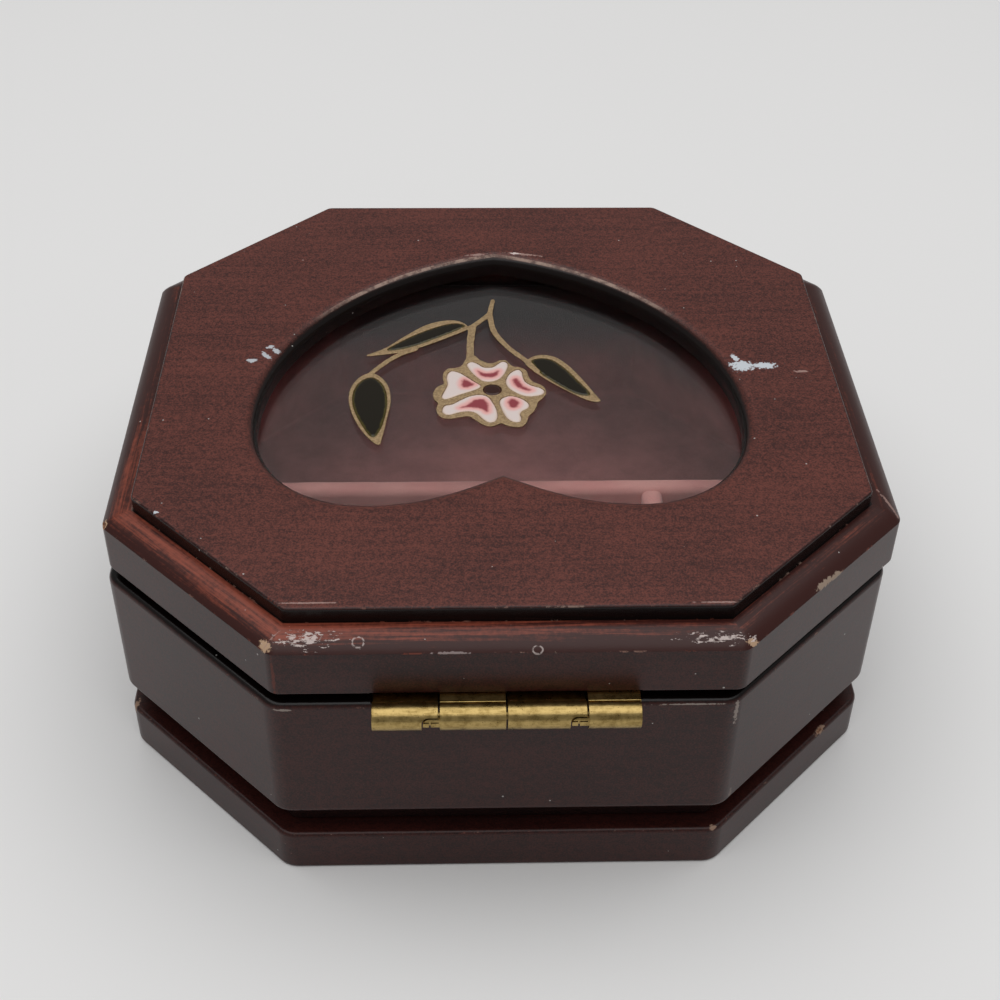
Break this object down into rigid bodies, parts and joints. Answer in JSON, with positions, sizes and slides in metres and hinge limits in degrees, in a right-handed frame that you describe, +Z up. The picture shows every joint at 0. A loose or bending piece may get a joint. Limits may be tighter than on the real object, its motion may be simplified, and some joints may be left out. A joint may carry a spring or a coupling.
{
  "type": "jewelry box",
  "caption": "Eight-sided lacquered wooden jewelry box with a hinged lid, a heart-shaped glass window, a velvet lining with dividers and a brass stop hinge.",
  "frame": {"origin": "Centre of the footprint, on the surface that the box stands on, halfway between its front face and the back of the hinge barrel.", "axes": "+Z up; +Y towards the hinge at the back; the lid opens at the -Y side."},
  "size_m": [0.1532, 0.158, 0.0645],
  "materials": {
    "lacquered_wood": "dark red-brown lacquer, satin gloss, worn at the edges",
    "window_glass": "clear, polished",
    "enamel_paint": "raised gold outline with glossy enamel fills",
    "velvet": "mauve short-pile velvet",
    "brass": "lightly tarnished, satin"
  },
  "bodies": {
    "base": {"plinth": "lacquered_wood", "box_walls": "lacquered_wood", "velvet_lining": "velvet", "long_divider": "velvet", "short_divider": "velvet", "hinge_base_leaf": "brass", "hinge_pin": "brass"},
    "lid": {"lid_frame": "lacquered_wood", "window_glass": "window_glass", "hinge_lid_leaf": "brass"}
  },
  "joints": [
    {"name": "lid_hinge", "type": "hinge", "parent": "base", "child": "lid", "pos_m": [0, 0.07635, 0.0465], "axis": [-1, 0, 0], "range_deg": [0, 95]}
  ]
}
